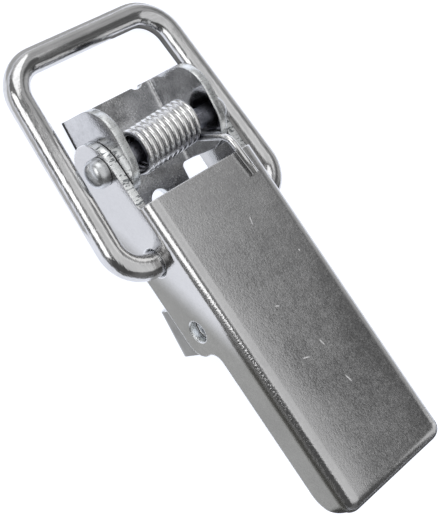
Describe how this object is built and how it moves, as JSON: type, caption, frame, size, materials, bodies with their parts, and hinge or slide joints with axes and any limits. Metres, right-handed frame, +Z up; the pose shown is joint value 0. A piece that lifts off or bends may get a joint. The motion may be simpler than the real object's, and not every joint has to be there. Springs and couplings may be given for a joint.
{
  "type": "toggle latch",
  "caption": "Over-centre toggle latch in zinc-plated steel: a folded base bracket, a pressed channel lever on a sprung pivot pin, and a bent wire loop that is drawn over a keeper.",
  "frame": {"origin": "on the mounting face of the base plate, under the middle of the pivot pin", "axes": "X from the wire loop to the lever's free end, Y along the pivot pin, Z up from the mounting face"},
  "size_m": [0.1455, 0.067, 0.0452],
  "materials": {
    "base_zinc": "satin zinc plate",
    "pin_zinc": "satin zinc plate",
    "lever_zinc": "satin zinc plate with fine scratches",
    "loop_zinc": "bright zinc plate",
    "spring_steel": "bright drawn wire"
  },
  "bodies": {
    "base": {"base_bracket": "base_zinc", "pivot_pin": "pin_zinc", "torsion_spring": "spring_steel"},
    "lever": {"lever": "lever_zinc"},
    "bail": {"bail": "loop_zinc"}
  },
  "joints": [
    {"name": "lever_swing", "type": "hinge", "parent": "base", "child": "lever", "pos_m": [0, 0, 0.0144], "axis": [0, -1, 0], "range_deg": [0, 120], "stiffness_Nm_per_rad": 0.12, "springref_deg": -22.92, "deforming": ["torsion_spring"]},
    {"name": "bail_swing", "type": "hinge", "parent": "lever", "child": "bail", "pos_m": [0.02803, 0, 0.01668], "axis": [0, 1, 0], "range_deg": [0, 160]}
  ]
}
